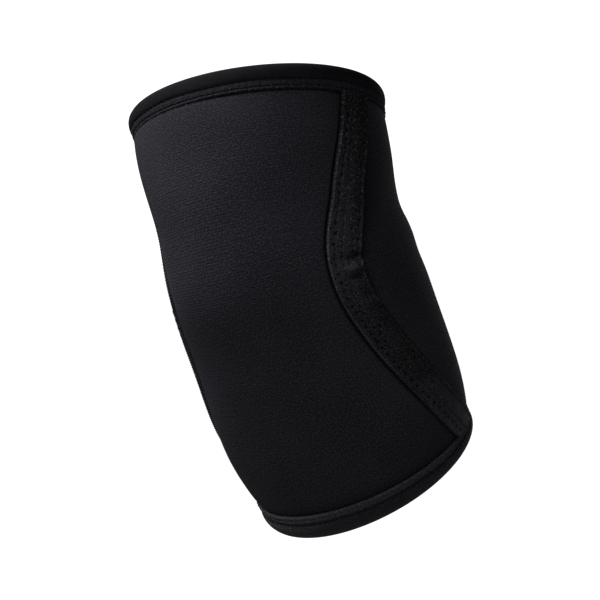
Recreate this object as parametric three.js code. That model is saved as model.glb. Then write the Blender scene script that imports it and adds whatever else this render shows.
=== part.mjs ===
// Elbow sleeve: a bent tube of neoprene, open at both ends, sewn from two panels.
// A textured strip covers each side seam, and a folded tape binds each rim.
// Millimetres, +Z up along the arm. The point of the elbow faces -Y and the crease of the bend +Y.
// The origin is the middle of the elbow, inside the hollow.
import * as THREE from "three";
import { mergeVertices } from "three/addons/utils/BufferGeometryUtils.js";

// Driving dimensions
const WALL = 5; // neoprene with jersey on both faces
const CLEARANCE = 0.3; // left between pieces that are sewn together
const STRIP_WIDTH = 15;
const STRIP_THICKNESS = 1.2;
const TAPE_THICKNESS = 1.2;
const LOWER_TAPE_WIDTH = 9.7; // seen from outside, rim to edge
const UPPER_TAPE_WIDTH = 10.9;
const TAPE_TURN_IN = 8; // the width that lies inside the sleeve

// Sections of the outer surface, a row for each, from the forearm rim up to the upper-arm rim.
// shift and height place the middle of the section, shift towards the crease. tilt is its lean in degrees.
// halfWidth is side to side, halfDepth elbow to crease. seam is the side seam's angle from the elbow point.
const SECTIONS = [
  { shift: 16.5, height: -89, tilt: -19, halfWidth: 45, halfDepth: 47.5, seam: 108.5 },
  { shift: 8.5, height: -61, tilt: -14, halfWidth: 53, halfDepth: 47, seam: 80.5 },
  { shift: 5, height: -27, tilt: -7.5, halfWidth: 52.5, halfDepth: 48, seam: 60 },
  { shift: 1, height: 0, tilt: -3, halfWidth: 52, halfDepth: 50, seam: 55.5 },
  { shift: 1, height: 23.5, tilt: 8.5, halfWidth: 49.5, halfDepth: 49.5, seam: 68.5 },
  { shift: 2, height: 47, tilt: 18.5, halfWidth: 52.5, halfDepth: 49.5, seam: 78 },
  { shift: 6.5, height: 71, tilt: 21, halfWidth: 53.5, halfDepth: 45.5, seam: 82.5 },
];

// Soft folds across the crease panel. along is the distance from the forearm rim on the middle line.
const FOLDS = [
  { along: 85, depth: 1.8, spread: 6.5 },
  { along: 108, depth: 1.4, spread: 6 },
];

// Puckers where the strip turns the corner and its crease-side edge has cloth to spare.
const PUCKERS = [
  { along: 90, lift: 0.9, spread: 3 },
  { along: 77, lift: 0.6, spread: 3.5 },
];

// Fineness of the facets
const PANEL_ROWS = 24;
const ELBOW_COLUMNS = 24;
const CREASE_COLUMNS = 18;
const STRIP_ROWS = 44;
const STRIP_COLUMNS = 3;
const TAPE_STEPS = 54;
const OUTER_LIP_STEPS = 6;
const INNER_LIP_STEPS = 3;
const WELD = 1e-3; // points closer than this are one

const { degToRad, lerp } = THREE.MathUtils;

// Smooth curves through the columns of the sections table, all in step with each other
const through = (pick) => new THREE.CatmullRomCurve3(SECTIONS.map(pick), false, "catmullrom");
const middleLine = through(({ shift, height }) => new THREE.Vector3(0, shift, height));
const halfSizes = through(({ halfWidth, halfDepth }) => new THREE.Vector3(halfWidth, halfDepth, 0));
const angles = through(({ tilt, seam }) => new THREE.Vector3(degToRad(tilt), degToRad(seam), 0));
const LENGTH = middleLine.getLength();

// The section at a distance along the middle line from the forearm rim
function sectionAt(along) {
  const t = middleLine.getUtoTmapping(0, along);
  const half = halfSizes.getPoint(t);
  const angle = angles.getPoint(t);
  return {
    middle: middleLine.getPoint(t),
    halfWidth: half.x,
    halfDepth: half.y,
    radius: (half.x + half.y) / 2,
    tilt: angle.x,
    seam: angle.y,
  };
}

// A bell of height 1 at distance 0, for folds and puckers
const bell = (distance, spread) => Math.exp(-((distance / spread) ** 2));

// How far the folds push the wall in. They are deepest in the middle of the crease and end at the sides.
function foldDepth(angle, along) {
  const towardsCrease = Math.max(0, -Math.cos(angle)) ** 2;
  const depths = FOLDS.map((fold) => fold.depth * bell(along - fold.along, fold.spread));
  return towardsCrease * depths.reduce((sum, depth) => sum + depth);
}

// How far the puckers lift the strip's crease-side edge
function puckerLift(along) {
  const lifts = PUCKERS.map((pucker) => pucker.lift * bell(along - pucker.along, pucker.spread));
  return lifts.reduce((sum, lift) => sum + lift);
}

// A point of the sleeve: angle runs from the elbow point towards +X, along starts at the forearm rim,
// and out is measured from the outer face of the panels.
function onSleeve(angle, along, out) {
  const section = sectionAt(along);
  const reach = out - foldDepth(angle, along);
  const sideways = (section.halfWidth + reach) * Math.sin(angle);
  const towardsCrease = -(section.halfDepth + reach) * Math.cos(angle);
  return new THREE.Vector3(
    sideways,
    section.middle.y + towardsCrease * Math.cos(section.tilt),
    section.middle.z - towardsCrease * Math.sin(section.tilt),
  );
}

// Shapes a flat or straight piece: place gives each of its points a new one.
function formed(geometry, place) {
  const position = geometry.getAttribute("position");
  const point = new THREE.Vector3();
  for (let i = 0; i < position.count; i += 1) {
    point.fromBufferAttribute(position, i);
    position.setXYZ(i, ...place(point.x, point.y, point.z).toArray());
  }
  geometry.deleteAttribute("normal");
  geometry.deleteAttribute("uv");
  const closed = mergeVertices(geometry, WELD);
  closed.computeVertexNormals();
  return closed;
}

// A flat blank, cut as a unit block: x runs across the piece, y along it and z through its thickness.
function blank(columns, rows) {
  return new THREE.BoxGeometry(1, 1, 1, columns, rows, 1).translate(0.5, 0.5, 0.5);
}

// The tape is folded round the rim, so its lip is a half circle about the middle of the wall.
const TAPE_PROUD = CLEARANCE + TAPE_THICKNESS;
const LIP_RADIUS = WALL / 2 + TAPE_PROUD;
const LIP_HOLLOW = WALL / 2 + CLEARANCE;
const WALL_END = LIP_RADIUS; // the wall stops where the lip starts to turn

// A neoprene panel between two side seams. edges gives the angles where it starts and ends.
function panel(columns, edges) {
  return formed(blank(columns, PANEL_ROWS), (across, up, depth) => {
    const along = lerp(WALL_END, LENGTH - WALL_END, up);
    const { seam, radius } = sectionAt(along);
    const [start, end] = edges(seam, CLEARANCE / 2 / radius);
    return onSleeve(lerp(start, end, across), along, lerp(-WALL, 0, depth));
  });
}

// A strip over a side seam, from one tape to the other. side is 1 for the +X seam and -1 for the other.
function strip(side) {
  const start = LOWER_TAPE_WIDTH + CLEARANCE;
  const end = LENGTH - UPPER_TAPE_WIDTH - CLEARANCE;
  const step = 1;
  return formed(blank(STRIP_COLUMNS, STRIP_ROWS), (across, up, depth) => {
    const along = lerp(start, end, up);
    const { seam, radius } = sectionAt(along);
    const slope = ((sectionAt(along + step).seam - sectionAt(along - step).seam) / (2 * step)) * radius;
    const reach = (STRIP_WIDTH / 2 / radius) * Math.hypot(1, slope);
    const sideways = lerp(-1, 1, across);
    const towardsEdge = Math.max(0, side * sideways);
    const out = CLEARANCE + STRIP_THICKNESS * depth + puckerLift(along) * towardsEdge;
    return onSleeve(side * seam + sideways * reach, along, out);
  });
}

// Outline of the folded tape: x is the distance out from the panels' outer face, y that from the rim.
function tapeOutline(width) {
  const lip = (radius, steps) =>
    new THREE.EllipseCurve(-WALL / 2, LIP_RADIUS, radius, radius, 0, -Math.PI, true).getPoints(steps);
  return [
    new THREE.Vector2(TAPE_PROUD, width),
    ...lip(LIP_RADIUS, OUTER_LIP_STEPS),
    new THREE.Vector2(-WALL - TAPE_PROUD, TAPE_TURN_IN),
    new THREE.Vector2(-WALL - CLEARANCE, TAPE_TURN_IN),
    ...lip(LIP_HOLLOW, INNER_LIP_STEPS).reverse(),
    new THREE.Vector2(CLEARANCE, width),
    new THREE.Vector2(TAPE_PROUD, width),
  ];
}

// A binding: the tape's ring is turned about a straight axis, then shaped to the upper or the lower rim.
function binding(width, upper) {
  const straightRadius = 50;
  const outline = tapeOutline(width).map((point) => new THREE.Vector2(straightRadius + point.x, point.y));
  const ring = new THREE.LatheGeometry(upper ? outline : outline.reverse(), TAPE_STEPS);
  return formed(ring, (x, y, z) => {
    const along = upper ? LENGTH - y : y;
    return onSleeve(Math.atan2(x, z), along, Math.hypot(x, z) - straightRadius);
  });
}

const neoprene = new THREE.MeshStandardMaterial({ color: 0x1c1c21, roughness: 0.85, metalness: 0 });
const texturedCloth = new THREE.MeshStandardMaterial({ color: 0x1d1d1c, roughness: 0.9, metalness: 0 });
const foldedTape = new THREE.MeshStandardMaterial({ color: 0x1b1b21, roughness: 0.75, metalness: 0 });

const elbowEdges = (seam, gap) => [gap - seam, seam - gap];
const creaseEdges = (seam, gap) => [seam + gap, 2 * Math.PI - seam - gap];

const PIECES = [
  { name: "elbow_panel", geometry: panel(ELBOW_COLUMNS, elbowEdges), material: neoprene },
  { name: "crease_panel", geometry: panel(CREASE_COLUMNS, creaseEdges), material: neoprene },
  { name: "right_side_strip", geometry: strip(1), material: texturedCloth },
  { name: "left_side_strip", geometry: strip(-1), material: texturedCloth },
  { name: "lower_binding", geometry: binding(LOWER_TAPE_WIDTH, false), material: foldedTape },
  { name: "upper_binding", geometry: binding(UPPER_TAPE_WIDTH, true), material: foldedTape },
];

const elbowSleeve = new THREE.Group();
elbowSleeve.name = "elbow_sleeve";
for (const { name, geometry, material } of PIECES) {
  const mesh = new THREE.Mesh(geometry, material);
  mesh.name = name;
  elbowSleeve.add(mesh);
}

export default elbowSleeve;
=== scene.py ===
# Looks of a pull-on elbow sleeve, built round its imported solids. Sizes are in millimetres unless a name says
# otherwise, and points become metres when they are laid on the sleeve.
from functools import partial, reduce

import bpy
import numpy as np
from mathutils import Matrix, Vector


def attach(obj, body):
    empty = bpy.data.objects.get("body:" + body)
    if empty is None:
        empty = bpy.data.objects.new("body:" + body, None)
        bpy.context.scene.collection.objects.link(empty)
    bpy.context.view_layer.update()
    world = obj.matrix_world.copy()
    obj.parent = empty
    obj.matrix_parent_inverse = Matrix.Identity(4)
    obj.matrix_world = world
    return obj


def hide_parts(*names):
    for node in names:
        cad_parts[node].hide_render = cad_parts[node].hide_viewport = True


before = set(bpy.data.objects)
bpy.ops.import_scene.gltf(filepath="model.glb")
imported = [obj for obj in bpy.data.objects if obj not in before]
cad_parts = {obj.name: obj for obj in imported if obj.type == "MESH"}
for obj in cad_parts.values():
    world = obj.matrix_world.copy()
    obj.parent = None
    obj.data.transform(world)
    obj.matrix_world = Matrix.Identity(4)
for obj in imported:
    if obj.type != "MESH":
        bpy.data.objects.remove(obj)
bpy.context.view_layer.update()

# The neoprene panels
# Two panels of 5 mm foam with jersey on both faces, a wide one over the elbow and one in the crease of the bend.
# They are butted along the side seams, and the stitching pulls them in a little along every seam and rim.
WALL = 5.0
STRIP_WIDTH = 15.0
STRIP_EDGE = 0.6  # a strip's elbow-side edge stands back from the panel and leaves a gap
LOWER_TAPE_WIDTH = 9.7
UPPER_TAPE_WIDTH = 10.9
WALL_END = 4.0  # the walls stop inside the folded tape
SEAM_GAP = 0.3

# Sections of the outer surface, from the forearm rim to the upper-arm rim. Angles are in degrees.
SECTIONS = [
    dict(shift=16.5, height=-89, tilt=-19, half_width=45, half_depth=47.5, seam=108.5),
    dict(shift=8.5, height=-61, tilt=-14, half_width=53, half_depth=47, seam=80.5),
    dict(shift=5, height=-27, tilt=-7.5, half_width=52.5, half_depth=48, seam=60),
    dict(shift=1, height=0, tilt=-3, half_width=52, half_depth=50, seam=55.5),
    dict(shift=1, height=23.5, tilt=8.5, half_width=49.5, half_depth=49.5, seam=68.5),
    dict(shift=2, height=47, tilt=18.5, half_width=52.5, half_depth=49.5, seam=78),
    dict(shift=6.5, height=71, tilt=21, half_width=53.5, half_depth=45.5, seam=82.5),
]
# Soft folds across the crease panel, by their distance along the middle line from the forearm rim
FOLDS = [
    dict(along=85, depth=1.8, spread=6.5),
    dict(along=108, depth=1.4, spread=6),
]
# The elbow panel swells softly below the elbow, and is a little hollow under the upper tape
SWELLS = [
    dict(along=60, lift=1.6, spread=19),
    dict(along=134, lift=-1.2, spread=11),
]

# How deep the stitching pulls the cloth in: in a narrow gap beside strips and tapes, and in a wide hollow round it
GAP_SPREAD = 0.7
STRIP_GAP = 1.0
TAPE_GAP = 0.4
HOLLOW_SPREAD = 3.2
STRIP_HOLLOW = 0.35
LOWER_HOLLOW = 0.4
UPPER_HOLLOW = 0.1
TOP_DIP = 0.9  # of the elbow panel, beside the upper ends of the strips
TOP_SPREAD = 7
# Graphs of points: along the sleeve, and in the last one round it, in radians to the right of the elbow point
STRIP_GAP_SHARE = [(25, 0.6), (60, 1)]
TOP_SHARE = [(118, 0), (146, 1)]
UPPER_GAP_SHARE = [(-0.9, 0.1), (0, 0.35), (0.35, 1)]
# Dips of the crease panel, by their distances past the strip and along: where the strip turns the corner, in the
# crook of the bend, and in a short fold that runs out from the corner
CORNER_DIP = dict(depth=2.0, past=0, spread=2.0, along=86, spread_along=11)
CROOK_DIP = dict(depth=0.9, past=0, spread=5, along=112, spread_along=38)
FOLD_DIP = dict(depth=1.2, past=0, spread=3, along=93.5, spread_along=1.6)

# Painted shade: how far the panels' colour is darkened, as if they got less light: beside strips and tapes, at the
# upper ends of the strips, and in the crook
STRIP_SHADE = [(24, 0.1), (42, 0.4), (75, 0.85), (130, 0.85), (150, 0.5)]
RIGHT_SHADE_SPREAD = 0.18
LEFT_SHADE_SPREAD = 0.5  # the gap on the left is wider
TAPE_SHADE = 0.7
TAPE_SHADE_SPREAD = 0.2
LOWER_WIDE_SHADE = 0.4
LOWER_WIDE_SPREAD = 2.8
UPPER_WIDE_SHADE = 0.25
UPPER_WIDE_SPREAD = 10
TOP_SHADE = 0.35
CREASE_SHADES = [
    dict(depth=0.6, past=0, spread=2.0, along=86, spread_along=10),
    dict(depth=0.66, past=0, spread=12, along=112, spread_along=26),
    dict(depth=0.24, past=14, spread=14, along=92, spread_along=38),
]

# Lines of a panel's grid, by their distance from the seam or from a tape's edge. They are close where it dips.
LINES_FROM_SEAM = np.concatenate([[SEAM_GAP / 2, 0.5, 0.9, 1.6, 4, 6.5], np.linspace(7.1, 10.5, 26), [11.2, 12, 13]])
LINES_FROM_TAPE = np.concatenate([[-2, -0.6], np.linspace(-0.2, 2.8, 20), [3.4, 4]])
LINES_BETWEEN_TAPES = 145
PANEL_COLUMNS = 150
INNER_DIP = 0.7  # of the inner face, at the seams
INNER_DIP_SPREAD = 0.8


def smooth_column(name, row):
    """One column of the sections as a smooth curve: a Catmull-Rom cubic through the rows, where row counts from 0
    and the end rows are mirrored past the ends."""
    values = np.array([section[name] for section in SECTIONS], float)
    padded = np.concatenate([[2 * values[0] - values[1]], values, [2 * values[-1] - values[-2]]])
    whole = np.clip(np.floor(row).astype(int), 0, len(values) - 2)
    part = row - whole
    a, b, c, d = padded[whole], padded[whole + 1], padded[whole + 2], padded[whole + 3]
    return b + 0.5 * part * (c - a + part * (2 * a - 5 * b + 4 * c - d + part * (3 * (b - c) + d - a)))


# The middle line, measured in small steps
row_steps = np.linspace(0, len(SECTIONS) - 1, 601)
middle_line = np.stack([smooth_column("shift", row_steps), smooth_column("height", row_steps)])
steps_along = np.concatenate([[0], np.cumsum(np.hypot(*np.diff(middle_line)))])
LENGTH = steps_along[-1]


def section_value(name, along):
    """A column of the sections at a distance along the middle line."""
    return smooth_column(name, np.interp(along, steps_along, row_steps))


def seam_angle(along):
    """Angle of the side seam from the elbow point, in radians."""
    return np.radians(section_value("seam", along))


def mean_radius(along):
    """Mean of the section's half width and half depth."""
    return (section_value("half_width", along) + section_value("half_depth", along)) / 2


def strip_angle(along, across):
    """Angle of a point of the side strip, where across is the distance from its elbow-side edge: the seam's angle
    plus the sideways distance over the radius, lengthened where the seam runs at a slant."""
    step = 1.0
    slope = (seam_angle(along + step) - seam_angle(along - step)) / (2 * step) * mean_radius(along)
    return seam_angle(along) + (across - STRIP_WIDTH / 2) / mean_radius(along) * np.hypot(1, slope)


def bell(distance, spread):
    """A rounded bump of height 1 at distance 0."""
    return np.exp(-((distance / spread) ** 2))


def graph(value, points):
    """Straight lines through the points of a graph, level before the first and past the last."""
    return np.interp(value, *zip(*points))


def on_sleeve(angle, along, out):
    """Points of the sleeve in metres. Each section is an ellipse that leans by its tilt: angle runs round it from
    the elbow point towards +X, and out is the distance from its edge, with the swells of the elbow panel added and
    the depth of the crease folds taken off."""
    angle, along, out = np.broadcast_arrays(angle, along, out)
    towards_crease = np.clip(-np.cos(angle), 0, 1) ** 2
    towards_elbow = np.clip(np.cos(angle), 0, 1) ** 2
    folds = sum(fold["depth"] * bell(along - fold["along"], fold["spread"]) for fold in FOLDS)
    swells = sum(swell["lift"] * bell(along - swell["along"], swell["spread"]) for swell in SWELLS)
    reach = out - folds * towards_crease + swells * towards_elbow
    tilt = np.radians(section_value("tilt", along))
    sideways = (section_value("half_width", along) + reach) * np.sin(angle)
    inward = -(section_value("half_depth", along) + reach) * np.cos(angle)
    y = section_value("shift", along) + inward * np.cos(tilt)
    z = section_value("height", along) - inward * np.sin(tilt)
    return np.stack([sideways, y, z], -1) / 1000


def half_turn(angle):
    """The same angle between half a turn to the left and half a turn to the right."""
    return (angle + np.pi) % (2 * np.pi) - np.pi


def from_stitching(angle, along):
    """Distances of the panels' points past the crease-side edge of a strip, from either edge of it, from the lower
    tape and from the upper one, all of them 0 underneath. The elbow-side edge is the middle of its gap."""
    turn = np.abs(half_turn(angle))
    past_strip = np.maximum(turn - strip_angle(along, STRIP_WIDTH), 0) * mean_radius(along)
    from_strip = past_strip + np.maximum(strip_angle(along, STRIP_EDGE / 2) - turn, 0) * mean_radius(along)
    from_lower = np.maximum(along - LOWER_TAPE_WIDTH, 0)
    from_upper = np.maximum(LENGTH - UPPER_TAPE_WIDTH - along, 0)
    return past_strip, from_strip, from_lower, from_upper


def upper_gap(angle):
    """How deep the gap under the upper tape is, as a share: the tape lies flush towards the left."""
    return graph(half_turn(angle), UPPER_GAP_SHARE)


def at_top(past_strip, from_strip, along):
    """Nearness to a strip's upper end, on the elbow panel: a bell from the strip that grows upwards."""
    return bell(from_strip, TOP_SPREAD) * graph(along, TOP_SHARE) * (past_strip == 0)


def crease_spot(past_strip, along, spot):
    """A soft spot of the crease panel: its depth times a bell across and a bell along."""
    near = bell(past_strip - spot["past"], spot["spread"]) * bell(along - spot["along"], spot["spread_along"])
    return spot["depth"] * near * (past_strip > 0)


def pulled_in(angle, along):
    """How far the stitching pulls the panels in: the deepest of the narrow and wide bells that fall off from strips
    and tapes, the dip at the upper ends of the strips, and the dips of the crease panel."""
    past_strip, from_strip, from_lower, from_upper = from_stitching(angle, along)
    strip_gap = STRIP_GAP * graph(along, STRIP_GAP_SHARE) * bell(from_strip, GAP_SPREAD)
    tape_gap = TAPE_GAP * (bell(from_lower, GAP_SPREAD) + upper_gap(angle) * bell(from_upper, GAP_SPREAD))
    tape_hollow = LOWER_HOLLOW * bell(from_lower, HOLLOW_SPREAD) + UPPER_HOLLOW * bell(from_upper, HOLLOW_SPREAD)
    return np.maximum.reduce([
        strip_gap + STRIP_HOLLOW * bell(from_strip, HOLLOW_SPREAD),
        tape_gap + tape_hollow,
        TOP_DIP * at_top(past_strip, from_strip, along),
        crease_spot(past_strip, along, CORNER_DIP),
        crease_spot(past_strip, along, CROOK_DIP) + crease_spot(past_strip, along, FOLD_DIP),
    ])


def painted_gap_shade(angle, along):
    """Painted shade of the panels, up to 1: how far their colour is darkened, as if they got less light. It is the
    most of the narrow bells that fall off from strips and tapes, with wide ones over the lower tape and under the
    upper one, and the shades of the crease panel."""
    past_strip, from_strip, from_lower, from_upper = from_stitching(angle, along)
    spread = np.where(np.sin(angle) < 0, LEFT_SHADE_SPREAD, RIGHT_SHADE_SPREAD)
    lower_wide = LOWER_WIDE_SHADE * bell(from_lower, LOWER_WIDE_SPREAD) * (from_lower > 0)
    upper_wide = UPPER_WIDE_SHADE * bell(from_upper, UPPER_WIDE_SPREAD) * (past_strip == 0)
    shades = [
        graph(along, STRIP_SHADE) * bell(from_strip, spread),
        TAPE_SHADE * bell(from_lower, TAPE_SHADE_SPREAD) + lower_wide,
        TAPE_SHADE * upper_gap(angle) * bell(from_upper, TAPE_SHADE_SPREAD) + upper_wide,
        TOP_SHADE * at_top(past_strip, from_strip, along),
    ]
    shades += [crease_spot(past_strip, along, spot) for spot in CREASE_SHADES]
    return np.minimum(np.maximum.reduce(shades), 1)


def grid_faces(points, cloth_map, wrap_rows=False, wrap_columns=False, capped=False):
    """Faces of a grid of points, one in each cell. A wrapped side joins its last line to its first, and capped
    closes the ends of a tube with a ladder of faces. cloth_map has one more line than points on a wrapped side."""
    rows, columns = points.shape[:2]
    row, column = np.indices((rows - (not wrap_rows), columns - (not wrap_columns)))
    corner_row = np.stack([row, row, row + 1, row + 1], -1).ravel()
    corner_column = np.stack([column, column + 1, column + 1, column], -1).ravel()
    if capped:
        near = np.arange(columns // 2 - 1)
        far = columns - 1 - near
        ladder = np.stack([near + 1, near, far, far - 1], -1).ravel()
        corner_row = np.concatenate([corner_row, np.zeros(len(ladder), int), np.full(len(ladder), rows - 1)])
        corner_column = np.concatenate([corner_column, ladder, ladder[::-1]])
    corners = corner_row % rows * columns + corner_column % columns
    return points.reshape(-1, 3), corners, cloth_map[corner_row, corner_column]


def cloth_piece(name, *grids):
    """A mesh object from one or more grids of faces, with its map in millimetres of cloth."""
    first_point = np.cumsum([0] + [len(points) for points, *_ in grids])
    points = np.concatenate([grid[0] for grid in grids])
    corners = np.concatenate([grid[1] + first for grid, first in zip(grids, first_point)])
    starts = np.arange(0, len(corners), 4)
    mesh = bpy.data.meshes.new(name)
    mesh.vertices.add(len(points))
    mesh.vertices.foreach_set("co", points.astype(np.float32).ravel())
    mesh.loops.add(len(corners))
    mesh.loops.foreach_set("vertex_index", corners.astype(np.int32))
    mesh.polygons.add(len(starts))
    mesh.polygons.foreach_set("loop_start", starts.astype(np.int32))
    cloth_map = np.concatenate([grid[2] for grid in grids])
    mesh.uv_layers.new(name="cloth").uv.foreach_set("vector", cloth_map.astype(np.float32).ravel())
    mesh.update(calc_edges=True)
    mesh.shade_smooth()
    piece = bpy.data.objects.new(name, mesh)
    bpy.context.scene.collection.objects.link(piece)
    return piece


def neoprene_panel(name, side):
    """A panel on the elbow side, -1, or the crease side, 1, of the seams: a closed grid, whose columns run over the
    outer face and back over the inner one, which dips at the seams. The outer face is sunk by what the stitching
    pulls it in, and the painted shade there, how far its colour is darkened, is kept as an attribute."""
    lower = LOWER_TAPE_WIDTH + LINES_FROM_TAPE
    upper = LENGTH - UPPER_TAPE_WIDTH - LINES_FROM_TAPE[::-1]
    between = np.linspace(lower[-1], upper[0], LINES_BETWEEN_TAPES)[1:-1]
    along = np.concatenate([[WALL_END], lower, between, upper, [LENGTH - WALL_END]])[:, None]
    edge = strip_angle(along, STRIP_WIDTH / 2 + side * LINES_FROM_SEAM[None])
    other_edge = np.pi * (1 + side) - edge
    first, last = (other_edge, edge) if side < 0 else (edge, other_edge)
    across = np.linspace(0, 1, PANEL_COLUMNS)[None, 1:-1]
    angle = np.hstack([first, first[:, -1:] * (1 - across) + last[:, -1:] * across, last[:, ::-1]])
    along = np.broadcast_to(along, angle.shape)
    from_seam = np.minimum(np.abs(angle - first[:, :1]), np.abs(angle - last[:, :1])) * mean_radius(along)
    inner = -WALL + INNER_DIP * bell(from_seam, INNER_DIP_SPREAD)
    out = np.hstack([-pulled_in(angle, along), inner[:, ::-1]])
    painted_shading = np.hstack([painted_gap_shade(angle, along), np.zeros_like(inner)])
    angle = np.hstack([angle, angle[:, ::-1]])
    along = np.hstack([along, along])
    cloth_map = np.stack([angle * np.mean(mean_radius(along)), along], -1)
    cloth_map = np.append(cloth_map, cloth_map[:, :1], axis=1)
    piece = cloth_piece(name, grid_faces(on_sleeve(angle, along, out), cloth_map, wrap_columns=True, capped=True))
    gap = piece.data.attributes.new("gap", "FLOAT", "POINT")
    gap.data.foreach_set("value", painted_shading.astype(np.float32).ravel())
    return piece


elbow_panel = neoprene_panel("elbow_panel_cloth", side=-1)
crease_panel = neoprene_panel("crease_panel_cloth", side=1)


def shade(red, green, blue):
    """A colour as it is read from a picture, 0 to 255, made linear for a shader."""
    value = np.array([red, green, blue]) / 255
    linear = np.where(value > 0.04045, ((value + 0.055) / 1.055) ** 2.4, value / 12.92)
    return (*linear.tolist(), 1.0)


def node(tree, kind, inputs=None, **settings):
    """Adds a shader node. Each input is given a value, or is linked if it is given a socket."""
    made = tree.nodes.new("ShaderNode" + kind)
    for name, value in settings.items():
        setattr(made, name, value)
    for name, value in (inputs or {}).items():
        if isinstance(value, bpy.types.NodeSocket):
            tree.links.new(value, made.inputs[name])
        else:
            made.inputs[name].default_value = value
    return made


def maths(tree, operation, *values):
    """The output of a math node on one to three values or sockets."""
    return node(tree, "Math", dict(enumerate(values)), operation=operation).outputs[0]


def product(tree, *factors):
    """Values or sockets multiplied with each other."""
    return reduce(partial(maths, tree, "MULTIPLY"), factors)


def added(tree, value, *shares):
    """A value with shares of others added. Each share is a pair of a socket and its weight."""
    for other, weight in shares:
        value = maths(tree, "MULTIPLY_ADD", other, weight, value)
    return value


def graph_nodes(tree, value, points):
    """A socket's value laid on straight lines through the points of a graph, level before the first and past the
    last: the first line as it is, with the rise of each later one added."""
    lines, level = [], 0.0
    for (start, low), (end, high) in zip(points, points[1:]):
        ends = {"From Min": start, "From Max": end, "To Min": low - level, "To Max": high - level}
        lines.append(node(tree, "MapRange", {"Value": value, **ends}).outputs["Result"])
        level = high
    return reduce(partial(maths, tree, "ADD"), lines)


def mixed(tree, factor, first, second):
    """A colour between two colours."""
    mix = node(tree, "Mix", {0: factor, 6: first, 7: second}, data_type="RGBA")
    return mix.outputs[2]


def node_group(name, sizes, outputs):
    """An empty shader node group. It takes a place on the cloth and named sizes, and puts out named values."""
    tree = bpy.data.node_groups.new(name, "ShaderNodeTree")
    tree.interface.new_socket("Place", in_out="INPUT", socket_type="NodeSocketVector")
    for label in sizes:
        tree.interface.new_socket(label, in_out="INPUT", socket_type="NodeSocketFloat")
    for label in outputs:
        tree.interface.new_socket(label, in_out="OUTPUT", socket_type="NodeSocketFloat")
    return tree, tree.nodes.new("NodeGroupInput").outputs, tree.nodes.new("NodeGroupOutput").inputs


def use_group(tree, group, **inputs):
    """The outputs of a node group placed in a material."""
    return node(tree, "Group", inputs, node_tree=group).outputs


# Knit loops: columns of loops stand side by side, and the two legs of each loop slope to the middle of its column.
LEG_SLOPE = 0.3
knit_loops, given, result = node_group("knit_loops", ["Column", "Row"], ["Height"])
place = node(knit_loops, "SeparateXYZ", {0: given["Place"]}).outputs
column = maths(knit_loops, "DIVIDE", place["X"], given["Column"])
from_groove = product(knit_loops, maths(knit_loops, "PINGPONG", column, 0.5), 2.0)
row = maths(knit_loops, "DIVIDE", place["Y"], given["Row"])
sloped_row = added(knit_loops, row, (from_groove, -LEG_SLOPE))
leg = maths(knit_loops, "ABSOLUTE", maths(knit_loops, "SINE", product(knit_loops, sloped_row, np.pi)))
knit_loops.links.new(product(knit_loops, leg, maths(knit_loops, "SQRT", from_groove)), result["Height"])

# Cloth tone: small light flecks, painted glints where fibres catch the light, and large soft patches.
cloth_tone, given, result = node_group("cloth_tone", ["Fleck", "Patch"], ["Fleck", "Patch"])
for label, detail, contrast in (
    ("Fleck", 1.5, [(0.44, 0), (0.76, 1)]),
    ("Patch", 2.0, [(0.3, 0), (0.7, 1)]),
):
    fineness = maths(cloth_tone, "DIVIDE", 1.0, given[label])
    noise = node(cloth_tone, "TexNoise", {"Vector": given["Place"], "Scale": fineness, "Detail": detail})
    cloth_tone.links.new(graph_nodes(cloth_tone, noise.outputs["Fac"], contrast), result[label])


def cloth_material(name, specular, sheen=0.0):
    """A material with a Principled shader, its node tree, and the socket of the cloth's map in millimetres."""
    material = bpy.data.materials.new(name)
    material.use_nodes = True
    tree = material.node_tree
    shader = tree.nodes["Principled BSDF"]
    shader.inputs["Specular IOR Level"].default_value = specular
    shader.inputs["Sheen Weight"].default_value = sheen
    return material, tree, node(tree, "UVMap", uv_map="cloth").outputs["UV"]


def link_surface(tree, colour, roughness, height, depth):
    """Links a colour, a roughness and a height with its depth in millimetres to the cloth's shader."""
    shader = tree.nodes["Principled BSDF"]
    tree.links.new(colour, shader.inputs["Base Color"])
    tree.links.new(roughness, shader.inputs["Roughness"])
    bump = node(tree, "Bump", {"Height": height, "Strength": 1.0, "Distance": depth / 1000})
    tree.links.new(bump.outputs["Normal"], shader.inputs["Normal"])


JERSEY_DARK = shade(19, 19, 23)
JERSEY_LIGHT = shade(64, 64, 72)
# The near-black tone of the painted shade
JERSEY_PAINTED_SHADE = shade(2, 2, 3)
jersey, tree, on_cloth = cloth_material("neoprene_jersey", specular=0.07)
loops = use_group(tree, knit_loops, Place=on_cloth, Column=0.75, Row=0.85)
tone = use_group(tree, cloth_tone, Place=on_cloth, Fleck=0.62, Patch=26.0)
light = added(tree, 0.0, (loops["Height"], 0.25), (tone["Fleck"], 0.62), (tone["Patch"], 0.1))
# Painted shade: the panels' gap attribute darkens the jersey towards a near-black tone beside strips and tapes and in
# the crook
painted_shade = node(tree, "Attribute", attribute_name="gap").outputs["Fac"]
link_surface(
    tree,
    colour=mixed(tree, painted_shade, mixed(tree, light, JERSEY_DARK, JERSEY_LIGHT), JERSEY_PAINTED_SHADE),
    roughness=added(tree, 0.92, (tone["Fleck"], -0.12)),
    height=added(tree, loops["Height"], (tone["Fleck"], 0.7)),
    depth=0.055,
)

for piece, cad_node in ((elbow_panel, "elbow_panel"), (crease_panel, "crease_panel")):
    piece.data.materials.append(jersey)
    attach(piece, "root")
    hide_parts(cad_node)

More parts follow.
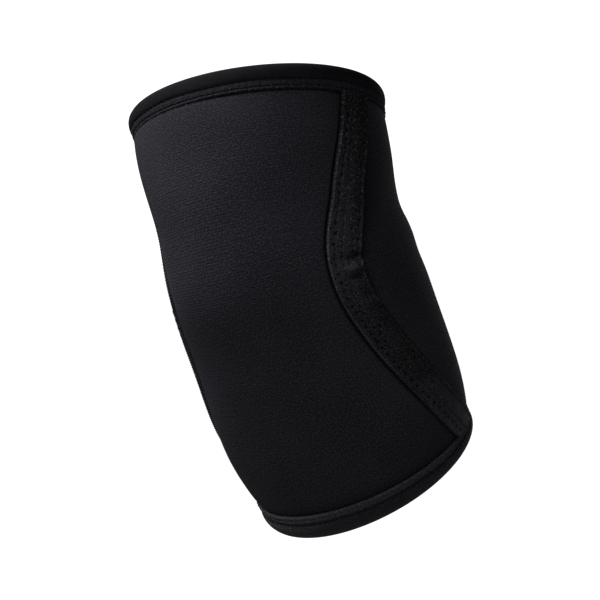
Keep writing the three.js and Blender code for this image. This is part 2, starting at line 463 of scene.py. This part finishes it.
# The side strips
# A strip of coarse textured tape covers each side seam and is sewn down along both edges. Its elbow-side edge is
# rolled into a ridge, and where it turns the corner its other edge has cloth to spare, which puckers.
STRIP_TOP = 0.85
STRIP_UNDER = -1.7  # sunk into the cloth that the stitching pulls in
FAR_EDGE_ROUND = 0.7
TUCK = 1.6  # how far each end goes under the rim tape
TUCKED_HEIGHT = 0.35  # what is left of its height there, as a share
STRIP_ROWS = 720
STRIP_COLUMNS = 64
CROWDING = 0.3  # how much closer the columns are at the edges
UNDER_COLUMNS = 8

# The ridge, with the bumps of its slanted stitches, and the low ridge along the other edge
RIDGE_HEIGHT = 0.5
RIDGE_SPREAD = 0.5
RIDGE_BUMPS = 0.12
RIDGE_PITCH = 1.0
RIDGE_SLANT = 0.2
FAR_RIDGE_LINE = 14.1
FAR_RIDGE_HEIGHT = 0.2
FAR_RIDGE_SPREAD = 0.6
# The left strip lies flatter than the right one, and is sunk into its gap above the corner
RIGHT = dict(side=1, ridge_line=0.9, edge_round=0.7, puckers=1.0, sunk=0.0)
LEFT = dict(side=-1, ridge_line=1.3, edge_round=1.0, puckers=0.2, sunk=0.2)
SUNK_SHARE = [(76, 0), (92, 1)]
# Sewn rows, by their distance across the strip. holes is the depth of the needle holes below the channel, and
# offset shifts them along, as a share of their pitch. No thread shows in the first row.
NEEDLE_PITCH = 3.1
SEWN_ROWS = [
    dict(line=3.4, depth=0.25, holes=0.6, spread=0.5, offset=0.0),
    dict(line=6.2, depth=0.15, holes=0.4, spread=0.45, offset=0.4),
    dict(line=12.9, depth=0.3, holes=0.3, spread=0.45, offset=0.2),
]
PUCKERS = [
    dict(along=90, across=10.8, lift=1.8, spread_along=1.6, spread_across=3.2),
    dict(along=93.6, across=11.4, lift=-2.0, spread_along=1.3, spread_across=4.0),
    dict(along=87.3, across=10.6, lift=-1.4, spread_along=0.8, spread_across=3.2),
    dict(along=79.5, across=11.5, lift=-0.9, spread_along=1.7, spread_across=3.2),
    dict(along=76, across=12.4, lift=0.8, spread_along=1.6, spread_across=2.6),
    dict(along=94.6, across=5.0, lift=-0.7, spread_along=2.0, spread_across=3.2),
]


def rounded(share):
    """A quarter circle that rounds off an edge: 0 at share 0, and 1 from share 1 on."""
    return np.sqrt(1 - (1 - np.clip(share, 0, 1)) ** 2)


def needle_holes(along, offset):
    """Holes at an even pitch along a row of stitches: 1 at each hole and 0 between."""
    return np.clip(np.cos(2 * np.pi * (along / NEEDLE_PITCH + offset)), 0, 1) ** 2


def strip_height(along, across, make):
    """Height of the strip's face over the panels: a level top, with bells for the ridges, the sewn rows, their needle
    holes and the puckers, rounded off at both edges. make holds what sets the right strip and the left one apart."""
    slanted = np.cos(2 * np.pi * (along - RIDGE_SLANT * across) / RIDGE_PITCH)
    height = STRIP_TOP + (RIDGE_HEIGHT + RIDGE_BUMPS * slanted) * bell(across - make["ridge_line"], RIDGE_SPREAD)
    height = height + FAR_RIDGE_HEIGHT * bell(across - FAR_RIDGE_LINE, FAR_RIDGE_SPREAD)
    for row in SEWN_ROWS:
        depth = row["depth"] + row["holes"] * needle_holes(along, row["offset"])
        height = height - depth * bell(across - row["line"], row["spread"])
    for pucker in PUCKERS:
        height = height + make["puckers"] * pucker["lift"] * (
            bell(along - pucker["along"], pucker["spread_along"])
            * bell(across - pucker["across"], pucker["spread_across"])
        )
    from_edge = np.minimum((across - STRIP_EDGE) / make["edge_round"], (STRIP_WIDTH - across) / FAR_EDGE_ROUND)
    sunk = make["sunk"] * graph(along, SUNK_SHARE)
    return STRIP_UNDER + (height - STRIP_UNDER) * (1 - sunk) * rounded(from_edge)


def seam_strip(name, make):
    """A closed profile carried along the seam: its face from edge to edge, and its flat underside back again."""
    along = np.linspace(LOWER_TAPE_WIDTH - TUCK, LENGTH - UPPER_TAPE_WIDTH + TUCK, STRIP_ROWS)[:, None]
    even = np.linspace(-1, 1, STRIP_COLUMNS)
    crowded = CROWDING * np.sin(np.pi / 2 * even) + (1 - CROWDING) * even
    face = STRIP_EDGE + (STRIP_WIDTH - STRIP_EDGE) * (1 + crowded) / 2
    under = np.linspace(STRIP_WIDTH, STRIP_EDGE, UNDER_COLUMNS + 2)[1:-1]
    out = np.hstack([strip_height(along, face[None], make), np.full((STRIP_ROWS, UNDER_COLUMNS), STRIP_UNDER)])
    from_end = np.clip(np.minimum(along - along[0], along[-1] - along) / TUCK, 0, 1)
    out = STRIP_UNDER + (out - STRIP_UNDER) * (TUCKED_HEIGHT + (1 - TUCKED_HEIGHT) * from_end)
    across = np.concatenate([face, under])[None]
    points = on_sleeve(make["side"] * strip_angle(along, across), along, out)
    around = np.append(across, across[:, :1], axis=1)
    cloth_map = np.stack(np.broadcast_arrays(around, along), -1)
    if make["side"] < 0:
        points, cloth_map = points[:, ::-1], cloth_map[:, ::-1]
    return cloth_piece(name, grid_faces(points, cloth_map, wrap_columns=True, capped=True))


right_strip = seam_strip("right_side_strip_cloth", RIGHT)
left_strip = seam_strip("left_side_strip_cloth", LEFT)


def distance(tree, across, along):
    """The length of a way, from its lengths across and along."""
    return maths(tree, "SQRT", added(tree, product(tree, across, across), (along, along)))


# Tones of the strip as graphs along it
# Painted light along the ridge, and on the left strip all along
RIDGE_LIGHT = [(40, 0.4), (60, 2.4), (70, 2.4), (88, 1.0), (116, 1.0), (142, 0.25)]
LEFT_RIDGE_LIGHT = 2.3
# A lighter lower end, a painted highlight at the corner and painted shade at the top
STRIP_LIGHT = [(14, 0.42), (44, 0), (74, 0), (88, 0.1), (96, 0.1), (110, 0), (124, 0), (146, -0.2)]
ELBOW_SIDE_LIGHT = [(56, 0.02), (90, 0.11)]
WEAVE_CONTRAST = [(60, 0.8), (100, 1.6)]
# Painted shade on the sunk part of the left strip
LEFT_SHADE = [(80, 0), (92, 0.8)]
# Its parts as graphs across it
ELBOW_SIDE = [(7.5, 1), (10.5, 0)]
IN_LEFT_GAP = [(3.0, 1), (5.0, 0)]
NEAR_EDGE = [(0.6, 0), (0.75, 1)]
LEFT_EDGE_SHIFT = 0.2
FAR_EDGE = [(14.5, 1), (14.9, 0)]

TAPE_DARK = shade(9, 9, 11)
TAPE_LIGHT = shade(72, 72, 77)
textured_tape, tree, on_cloth = cloth_material("textured_seam_tape", specular=0.07)
tone = use_group(tree, cloth_tone, Place=on_cloth, Fleck=0.6, Patch=7.0)
place = node(tree, "SeparateXYZ", {0: on_cloth}).outputs
across_strip, along_strip = place["X"], place["Y"]
in_space = node(tree, "SeparateXYZ", {0: node(tree, "TexCoord").outputs["Object"]}).outputs
on_left = maths(tree, "LESS_THAN", in_space["X"], 0.0)

# Knots and pits of the coarse weave: each cell has one or neither
cells = node(tree, "TexVoronoi", {"Vector": on_cloth, "Scale": 0.85})
chance = node(tree, "SeparateColor", {0: cells.outputs["Color"]}).outputs["Red"]
spot = graph_nodes(tree, cells.outputs["Distance"], [(0.2, 1), (0.4, 0)])
knot = product(tree, spot, graph_nodes(tree, chance, [(0.55, 0), (0.6, 1)]))
pit = product(tree, spot, graph_nodes(tree, chance, [(0.3, 1), (0.35, 0)]))
weave = product(
    tree,
    added(tree, 0.0, (knot, 0.4), (pit, -0.35)),
    graph_nodes(tree, along_strip, WEAVE_CONTRAST),
)

# The ridge is paler, with a dot for each of its stitches, and painted light along it: palest below the corner and
# dimmer towards both ends, and on the left pale all along.
ridge_line = graph_nodes(tree, on_left, [(0, RIGHT["ridge_line"]), (1, LEFT["ridge_line"])])
from_ridge = maths(tree, "ABSOLUTE", maths(tree, "SUBTRACT", across_strip, ridge_line))
dots = maths(tree, "COSINE", product(tree, along_strip, 2 * np.pi / RIDGE_PITCH))
ridge_light = graph_nodes(tree, along_strip, RIDGE_LIGHT)
ridge_light = maths(tree, "MAXIMUM", ridge_light, product(tree, on_left, LEFT_RIDGE_LIGHT))
on_ridge = graph_nodes(tree, from_ridge, [(0.2, 1), (0.7, 0)])
ridge = product(tree, added(tree, 0.25, (dots, 0.2)), on_ridge, ridge_light)

# Needle holes of the first row are dark. The edges and the sunk part of the left strip are darkened too, with painted
# shade.
from_row = maths(tree, "SUBTRACT", across_strip, SEWN_ROWS[0]["line"])
from_hole = distance(tree, from_row, maths(tree, "PINGPONG", along_strip, NEEDLE_PITCH / 2))
off_hole = graph_nodes(tree, from_hole, [(0.3, 0.5), (0.9, 1)])
in_left_gap = graph_nodes(tree, across_strip, IN_LEFT_GAP)
sunk = product(tree, on_left, graph_nodes(tree, along_strip, LEFT_SHADE), in_left_gap)
near_edge = graph_nodes(tree, added(tree, across_strip, (on_left, -LEFT_EDGE_SHIFT)), NEAR_EDGE)
off_edges = maths(tree, "MINIMUM", near_edge, graph_nodes(tree, across_strip, FAR_EDGE))

# The strip's tone, with the painted light and shade of its graphs along it and its ridge, and the painted shade on
# its edges and the left strip's sunk part
light = added(
    tree, 0.02,
    (tone["Fleck"], 0.5),
    (tone["Patch"], 0.1),
    (graph_nodes(tree, across_strip, ELBOW_SIDE), graph_nodes(tree, along_strip, ELBOW_SIDE_LIGHT)),
    (graph_nodes(tree, along_strip, STRIP_LIGHT), 1.0),
    (weave, 1.0),
)
light = added(tree, ridge, (light, off_hole))
light = product(tree, light, maths(tree, "SUBTRACT", 1.0, sunk), off_edges)
link_surface(
    tree,
    colour=mixed(tree, light, TAPE_DARK, TAPE_LIGHT),
    roughness=added(tree, 0.92, (tone["Fleck"], -0.15)),
    height=added(tree, maths(tree, "SUBTRACT", knot, pit), (tone["Fleck"], 0.5)),
    depth=0.25,
)

for piece, cad_node in ((right_strip, "right_side_strip"), (left_strip, "left_side_strip")):
    piece.data.materials.append(textured_tape)
    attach(piece, "root")
    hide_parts(cad_node)

# The rim bindings
# A folded stretch tape binds each rim. Its fold makes a smooth rolled lip, a row of stitches holds it to the foam in
# a groove, and its outer edge is finished with a bead.
TAPE_UNDER = -1.2
TAPE_TURN_IN = 8.0
LIP_PROUD = 1.5
LIP_RADIUS = WALL / 2 + LIP_PROUD
LIP_FULLNESS = 0.6  # the lower, the fuller the lip stays before it rolls down
HOLLOW_PLAY = 0.1  # between the inside of the fold and the foam
HOLLOW_RADIUS = WALL / 2 + HOLLOW_PLAY
LIMB_ROUND = 0.8  # rounding of the edge inside the sleeve
RIM_ROUND = 2 * np.pi * 48.5
RING_STEPS = 900

# The groove, by its distance from the rim. It shifts with each stitch, and drifts slowly round the rim.
UPPER_GROOVE = 6.9
LOWER_GROOVE = 6.3
GROOVE_TOP = 0.35
GROOVE_FLOOR = 0.25
GROOVE_SPREAD = 0.6
GROOVE_SHIFT = 0.12
GROOVE_DRIFT = 0.15
DRIFT_WAVES = 9
GROOVE_PITCH = 2.5
GROOVE_STITCHES = round(RIM_ROUND / GROOVE_PITCH)
# The band, high at the groove and low at its edge, with a lump for each stitch and uneven ones besides
BAND_TOP = 0.8
BAND_EDGE = 0.3
FLUSH_SINK = 0.6  # how much lower its edge is where the upper tape lies flush
STITCH_LUMP = 0.1
UNEVEN_LUMP = 0.08
UNEVEN_LUMPS = 61
CROWDED_LUMPS = 7  # how often they draw together round the rim
# The channel and the bead of small pearls, by their distance from the tape's edge
CHANNEL = dict(line=1.45, depth=0.3, spread=0.25)
BEAD = dict(line=0.65, height=0.08, pearls=0.1, slant=2, spread=0.4)
TAPE_EDGE_ROUND = 0.6
BEAD_PITCH = 1.25
BEAD_PEARLS = round(RIM_ROUND / BEAD_PITCH)
BEAD_END = 2.2  # the tape's lines are close up to here
# Lines of the tape's profile
PROFILE_STEPS = dict(edge=8, bead=14, band=34, lip=24, limb=8, hollow=9, under=5)


def groove_drift(turn):
    """How far the groove has drifted from its line: slow waves round the rim."""
    return GROOVE_DRIFT * np.sin(DRIFT_WAVES * turn)


def tape_relief(from_rim, width, groove, turn, upper):
    """Height of the tape's outer face over the panels: a lip that rolls down into the stitched groove, then a lumpy
    band that falls to the edge, a narrow channel, and an edge bead of small pearls."""
    from_edge = width - from_rim
    stitch = GROOVE_STITCHES * turn
    past_groove = from_rim - groove - GROOVE_SHIFT * np.cos(stitch) - groove_drift(turn)
    down = np.clip((past_groove + groove - LIP_RADIUS) / (groove - LIP_RADIUS), 0, 1)
    lip = GROOVE_TOP + (LIP_PROUD - GROOVE_TOP) * (1 - down ** 2) ** LIP_FULLNESS
    uneven = np.sin(UNEVEN_LUMPS * turn + 2 * np.sin(CROWDED_LUMPS * turn))
    edge = BAND_EDGE - FLUSH_SINK * (1 - upper_gap(turn)) * upper
    band = edge + (BAND_TOP - edge) * np.clip(from_edge / (width - groove), 0, 1)
    band = band + STITCH_LUMP * np.sin(stitch) + UNEVEN_LUMP * uneven
    band = GROOVE_FLOOR + (band - GROOVE_FLOOR) * (1 - bell(np.maximum(past_groove, 0), GROOVE_SPREAD))
    band = band - CHANNEL["depth"] * bell(from_edge - CHANNEL["line"], CHANNEL["spread"])
    pearls = BEAD["pearls"] * np.cos(BEAD_PEARLS * turn - BEAD["slant"] * from_edge)
    band = band + (BEAD["height"] + pearls) * bell(from_edge - BEAD["line"], BEAD["spread"])
    height = np.where(past_groove < 0, lip, band)
    return TAPE_UNDER + (height - TAPE_UNDER) * rounded(from_edge / TAPE_EDGE_ROUND)


def rim_binding(name, width, groove, upper):
    """A closed profile carried round the rim: the tape's outer face, a half circle over the rim, the limb inside the
    sleeve, and back against the foam."""
    turn = np.linspace(0, 2 * np.pi, RING_STEPS, endpoint=False)[None]
    outer = width - np.concatenate([
        TAPE_EDGE_ROUND * np.linspace(0, 1, PROFILE_STEPS["edge"])[:-1] ** 2,
        np.linspace(TAPE_EDGE_ROUND, BEAD_END, PROFILE_STEPS["bead"])[:-1],
        np.linspace(BEAD_END, width - LIP_RADIUS, PROFILE_STEPS["band"]),
    ])
    lip = np.linspace(0, np.pi, PROFILE_STEPS["lip"])[1:-1]
    limb = np.linspace(LIP_RADIUS, TAPE_TURN_IN, PROFILE_STEPS["limb"])
    hollow = np.linspace(np.pi, 0, PROFILE_STEPS["hollow"])
    under = np.linspace(0, 1, PROFILE_STEPS["under"])[1:-1]
    from_rim = np.concatenate([
        outer,
        LIP_RADIUS - LIP_RADIUS * np.sin(lip),
        limb,
        LIP_RADIUS - HOLLOW_RADIUS * np.sin(hollow),
        LIP_RADIUS + (width - LIP_RADIUS) * under,
    ])[:, None]
    out = np.concatenate([
        np.zeros(len(outer)),
        -WALL / 2 + LIP_RADIUS * np.cos(lip),
        -WALL - LIP_PROUD * rounded((TAPE_TURN_IN - limb) / LIMB_ROUND),
        -WALL / 2 + HOLLOW_RADIUS * np.cos(hollow),
        HOLLOW_PLAY + (TAPE_UNDER - HOLLOW_PLAY) * under,
    ])[:, None]
    out = np.broadcast_to(out, (len(out), RING_STEPS)).copy()
    out[:len(outer)] = tape_relief(outer[:, None], width, groove, turn, upper)
    along = LENGTH - from_rim if upper else from_rim
    points = on_sleeve(turn, along, out)
    run = np.concatenate([[0], np.cumsum(np.hypot(np.diff(from_rim[:, 0]), np.diff(out.mean(axis=1))))])
    round_rim = np.linspace(0, RIM_ROUND, RING_STEPS + 1)
    cloth_map = np.stack(np.meshgrid(round_rim, np.append(run, run[-1] + 1)), -1)
    if not upper:
        points, cloth_map = points[::-1], cloth_map[::-1]
    return cloth_piece(name, grid_faces(points, cloth_map, wrap_rows=True, wrap_columns=True))


lower_binding = rim_binding("lower_binding_cloth", LOWER_TAPE_WIDTH, LOWER_GROOVE, upper=False)
upper_binding = rim_binding("upper_binding_cloth", UPPER_TAPE_WIDTH, UPPER_GROOVE, upper=True)

# Where the looks change, measured over the tape from its edge
BEAD_RUN = 1.0
BAND_END = 3.0
LIP_START = 4.6
LIP_FOLD = 9.5


def stretch_tape(name, dark, light, sheen, lip_grain, band_light, bead_light, groove_light, fold_light):
    """A smooth knitted tape between two tones, with specks, which lip_grain fades on the lip. Its stitched band and
    the pearls of its bead are paler, and painted light and shade on its lip change from the groove to the fold."""
    material, tree, on_cloth = cloth_material(name, specular=0.05, sheen=sheen)
    loops = use_group(tree, knit_loops, Place=on_cloth, Column=0.45, Row=0.5)
    tone = use_group(tree, cloth_tone, Place=on_cloth, Fleck=0.7, Patch=5.0)
    place = node(tree, "SeparateXYZ", {0: on_cloth}).outputs
    round_rim, over_tape = place["X"], place["Y"]
    band = graph_nodes(tree, over_tape, [(BAND_END, 1), (LIP_START, 0)])
    # Painted light and shade on the lip, from groove_light at the groove to fold_light at the fold
    lip_tone = graph_nodes(tree, over_tape, [(LIP_START, groove_light), (LIP_FOLD, fold_light)])
    specks = product(tree, tone["Fleck"], graph_nodes(tree, band, [(0, lip_grain), (1, 1)]))
    from_bead = maths(tree, "SUBTRACT", over_tape, BEAD_RUN)
    from_pearl = distance(tree, from_bead, maths(tree, "PINGPONG", round_rim, RIM_ROUND / BEAD_PEARLS / 2))
    paler = added(
        tree, graph_nodes(tree, from_pearl, [(0.25, bead_light), (0.6, 0)]),
        (tone["Patch"], 0.05),
        (loops["Height"], 0.12),
        (band, band_light),
        (maths(tree, "SUBTRACT", 1.0, band), lip_tone),
        (specks, 1.0),
    )
    link_surface(
        tree,
        colour=mixed(tree, paler, dark, light),
        roughness=added(tree, 0.85, (tone["Fleck"], -0.1)),
        height=added(tree, loops["Height"], (specks, 0.8)),
        depth=0.08,
    )
    return material


# The two tapes are one cloth. The upper one's darker tones are painted shade and its lightened groove is painted
# light; the lower one's paler tones, band and fold are painted light from below.
upper_tape = stretch_tape(
    "upper_rim_tape", dark=shade(4, 4, 6), light=shade(48, 48, 54), sheen=0.0,
    lip_grain=0.12, band_light=0.1, bead_light=0.16, groove_light=0.26, fold_light=-0.05,
)
lower_tape = stretch_tape(
    "lower_rim_tape", dark=shade(16, 15, 20), light=shade(70, 69, 76), sheen=0.06,
    lip_grain=0.35, band_light=0.3, bead_light=0.14, groove_light=-0.05, fold_light=0.15,
)

for piece, cad_node, width, material in (
    (lower_binding, "lower_binding", LOWER_TAPE_WIDTH, lower_tape),
    (upper_binding, "upper_binding", UPPER_TAPE_WIDTH, upper_tape),
):
    piece.data.materials.append(material)
    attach(piece, "root")
    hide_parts(cad_node)

# The stitches
# Twisted thread holds every strip and tape. Plain rows of stitches run along the sewn channels and grooves, each
# thread in one length that dives through the cloth between its stitches.
THREAD_RADIUS = 0.17
THREAD_SIDES = 6
STITCH_STEPS = 570  # along a strip
STEPS_PER_STITCH = 10  # round a rim
DIVE_DEPTH = 0.2
DIVE_SQUARENESS = 1.6
THREAD_END_GAP = 0.3  # between the end of a strip's thread and the tape
BESIDE_GROOVE = 0.25  # how far past the groove's line its thread lies


def dives(phase):
    """A thread's rise and fall, one stitch to a turn of the phase: a wave with flattened tops and bottoms."""
    return DIVE_DEPTH * np.clip(DIVE_SQUARENESS * np.cos(phase), -1, 1)


def thread_row(angle, along, out, closed=False):
    """A round profile carried along a thread's path on the sleeve: at each point a ring lies square to the path."""
    path = on_sleeve(angle, along, out)
    outward = on_sleeve(angle, along, out + 1) - path
    if closed:
        forward = np.roll(path, -1, axis=0) - np.roll(path, 1, axis=0)
    else:
        forward = np.gradient(path, axis=0)
    forward = forward / np.linalg.norm(forward, axis=1, keepdims=True)
    sideways = np.cross(outward, forward)
    sideways = sideways / np.linalg.norm(sideways, axis=1, keepdims=True)
    raised = np.cross(forward, sideways)
    turn = np.linspace(0, 2 * np.pi, THREAD_SIDES, endpoint=False)[None, :, None]
    ring = THREAD_RADIUS / 1000 * (np.cos(turn) * sideways[:, None] + np.sin(turn) * raised[:, None])
    run = np.arange(len(path) + closed) * np.mean(np.linalg.norm(np.diff(path, axis=0), axis=1)) * 1000
    cloth_map = np.stack(np.meshgrid(np.arange(THREAD_SIDES + 1) / THREAD_SIDES, run), -1)
    return grid_faces(
        path[:, None] + ring[:, ::-1], cloth_map, wrap_rows=closed, wrap_columns=True, capped=not closed
    )


def strip_threads(name, make):
    """The threads of one strip: plain rows along its sewn rows, but for the first."""
    start = LOWER_TAPE_WIDTH + THREAD_END_GAP
    end = LENGTH - UPPER_TAPE_WIDTH - THREAD_END_GAP
    along = np.linspace(start, end, STITCH_STEPS)
    threads = []
    for row in SEWN_ROWS[1:]:
        across = np.full_like(along, row["line"])
        stitch = 2 * np.pi * (along / NEEDLE_PITCH + row["offset"])
        height = strip_height(along, across, make) - dives(stitch)
        threads.append(thread_row(make["side"] * strip_angle(along, across), along, height))
    return cloth_piece(name, *threads)


def binding_threads(name, width, groove, upper):
    """The thread of one binding: a plain row in its groove."""
    turn = np.linspace(0, 2 * np.pi, GROOVE_STITCHES * STEPS_PER_STITCH, endpoint=False)
    from_rim = groove + groove_drift(turn) + BESIDE_GROOVE
    height = tape_relief(from_rim, width, groove, turn, upper) + dives(GROOVE_STITCHES * turn)
    along = LENGTH - from_rim if upper else from_rim
    return cloth_piece(name, thread_row(turn, along, height, closed=True))


right_strip_thread = strip_threads("right_strip_thread", RIGHT)
left_strip_thread = strip_threads("left_strip_thread", LEFT)
lower_binding_thread = binding_threads("lower_binding_thread", LOWER_TAPE_WIDTH, LOWER_GROOVE, upper=False)
upper_binding_thread = binding_threads("upper_binding_thread", UPPER_TAPE_WIDTH, UPPER_GROOVE, upper=True)

THREAD_DARK = shade(18, 18, 20)
THREAD_LIGHT = shade(46, 46, 48)
TWIST_LENGTH = 0.5
PLIES = 2.0
thread, tree, on_cloth = cloth_material("twisted_thread", specular=0.2)
tone = use_group(tree, cloth_tone, Place=on_cloth, Fleck=1.3, Patch=8.0)
place = node(tree, "SeparateXYZ", {0: on_cloth}).outputs
twist = added(tree, maths(tree, "DIVIDE", place["Y"], TWIST_LENGTH), (place["X"], PLIES))
ply = maths(tree, "PINGPONG", twist, 0.5)
light = added(tree, 0.0, (ply, 0.7), (tone["Fleck"], 0.5))
link_surface(
    tree,
    colour=mixed(tree, light, THREAD_DARK, THREAD_LIGHT),
    roughness=added(tree, 0.7, (tone["Fleck"], -0.1)),
    height=ply,
    depth=0.08,
)

for piece, slot in (
    (right_strip_thread, "seam_strip"),
    (left_strip_thread, "seam_strip"),
    (lower_binding_thread, "rim_tape"),
    (upper_binding_thread, "rim_tape"),
):
    piece.data.materials.append(thread)
    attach(piece, "root")

# The studio
# A pale floor well below the sleeve in dim white light from all round, and the camera at the photograph's angle.
# A strong light at the upper left, a weak one from the front, and two behind the sleeve that draw its outline.
FLOOR_HEIGHT_M = -0.25
FLOOR_REACH_M = 6.0
CAMERA_AZIMUTH = 33.43
CAMERA_ELEVATION = 2.88
CAMERA_ROLL = -15.55
CAMERA_DISTANCE_M = 0.9
CAMERA_LENS = 132.3
CAMERA_SENSOR = 36.0
AIM_RIGHT_M = 0.00294
AIM_UP_M = -0.01053
PAPER = (0.25, 0.25, 0.25, 1)
WHITE = (1, 1, 1, 1)
AMBIENT = 0.12
BACKDROP = 1.2
# Places of the lights in metres: to the right and up as the camera sees it, and back towards it
LIGHTS = [
    dict(name="key", size=0.35, watts=10.0, right=-0.43, up=0.56, back=0.0),
    dict(name="front", size=0.5, watts=2.1, right=-0.16, up=0.5, back=0.44),
    dict(name="rim", size=0.4, watts=1.0, right=0.42, up=0.05, back=-0.8),
    dict(name="back", size=0.9, watts=1.3, right=-0.3, up=0.5, back=-0.9),
]

floor_mesh = bpy.data.meshes.new("floor")
floor_mesh.from_pydata(
    [(x * FLOOR_REACH_M, y * FLOOR_REACH_M, FLOOR_HEIGHT_M) for x, y in ((-1, -1), (1, -1), (1, 1), (-1, 1))],
    [], [(0, 1, 2, 3)],
)
floor = bpy.data.objects.new("floor", floor_mesh)
bpy.context.scene.collection.objects.link(floor)
paper = bpy.data.materials.new("white_paper")
paper.use_nodes = True
tree = paper.node_tree
shader = tree.nodes["Principled BSDF"]
shader.inputs["Base Color"].default_value = PAPER
shader.inputs["Roughness"].default_value = 0.9
shader.inputs["Emission Color"].default_value = WHITE
tree.links.new(node(tree, "LightPath").outputs["Is Camera Ray"], shader.inputs["Emission Strength"])
floor_mesh.materials.append(paper)

azimuth, elevation, roll = np.radians([CAMERA_AZIMUTH, CAMERA_ELEVATION, CAMERA_ROLL])
back = Vector((np.sin(azimuth) * np.cos(elevation), -np.cos(azimuth) * np.cos(elevation), np.sin(elevation)))
right = Vector((np.cos(azimuth), np.sin(azimuth), 0))
up = back.cross(right)
rolled_right = right * np.cos(roll) + up * np.sin(roll)
rolled_up = up * np.cos(roll) - right * np.sin(roll)


def aimed(data, name, position, target, upward):
    """A camera or light at a position that faces a target."""
    backward = (position - target).normalized()
    sideways = upward.cross(backward).normalized()
    made = bpy.data.objects.new(name, data)
    bpy.context.scene.collection.objects.link(made)
    axes = Matrix((sideways, backward.cross(sideways), backward)).transposed()
    made.matrix_world = Matrix.Translation(position) @ axes.to_4x4()
    return made


lens = bpy.data.cameras.new("camera")
lens.lens = CAMERA_LENS
lens.sensor_width = CAMERA_SENSOR
aim = rolled_right * AIM_RIGHT_M + rolled_up * AIM_UP_M
bpy.context.scene.camera = aimed(lens, "camera", back * CAMERA_DISTANCE_M, aim, rolled_up)

for lamp in LIGHTS:
    data = bpy.data.lights.new(lamp["name"], "AREA")
    data.size = lamp["size"]
    data.energy = lamp["watts"]
    position = rolled_right * lamp["right"] + rolled_up * lamp["up"] + back * lamp["back"]
    aimed(data, lamp["name"], position, Vector((0, 0, 0)), up)

world = bpy.context.scene.world or bpy.data.worlds.new("studio")
bpy.context.scene.world = world
world.use_nodes = True
tree = world.node_tree
surround = tree.nodes["Background"]
seen = node(tree, "LightPath").outputs["Is Camera Ray"]
surround.inputs["Color"].default_value = WHITE
tree.links.new(added(tree, AMBIENT, (seen, BACKDROP - AMBIENT)), surround.inputs["Strength"])

bpy.context.scene.view_settings.view_transform = "Standard"
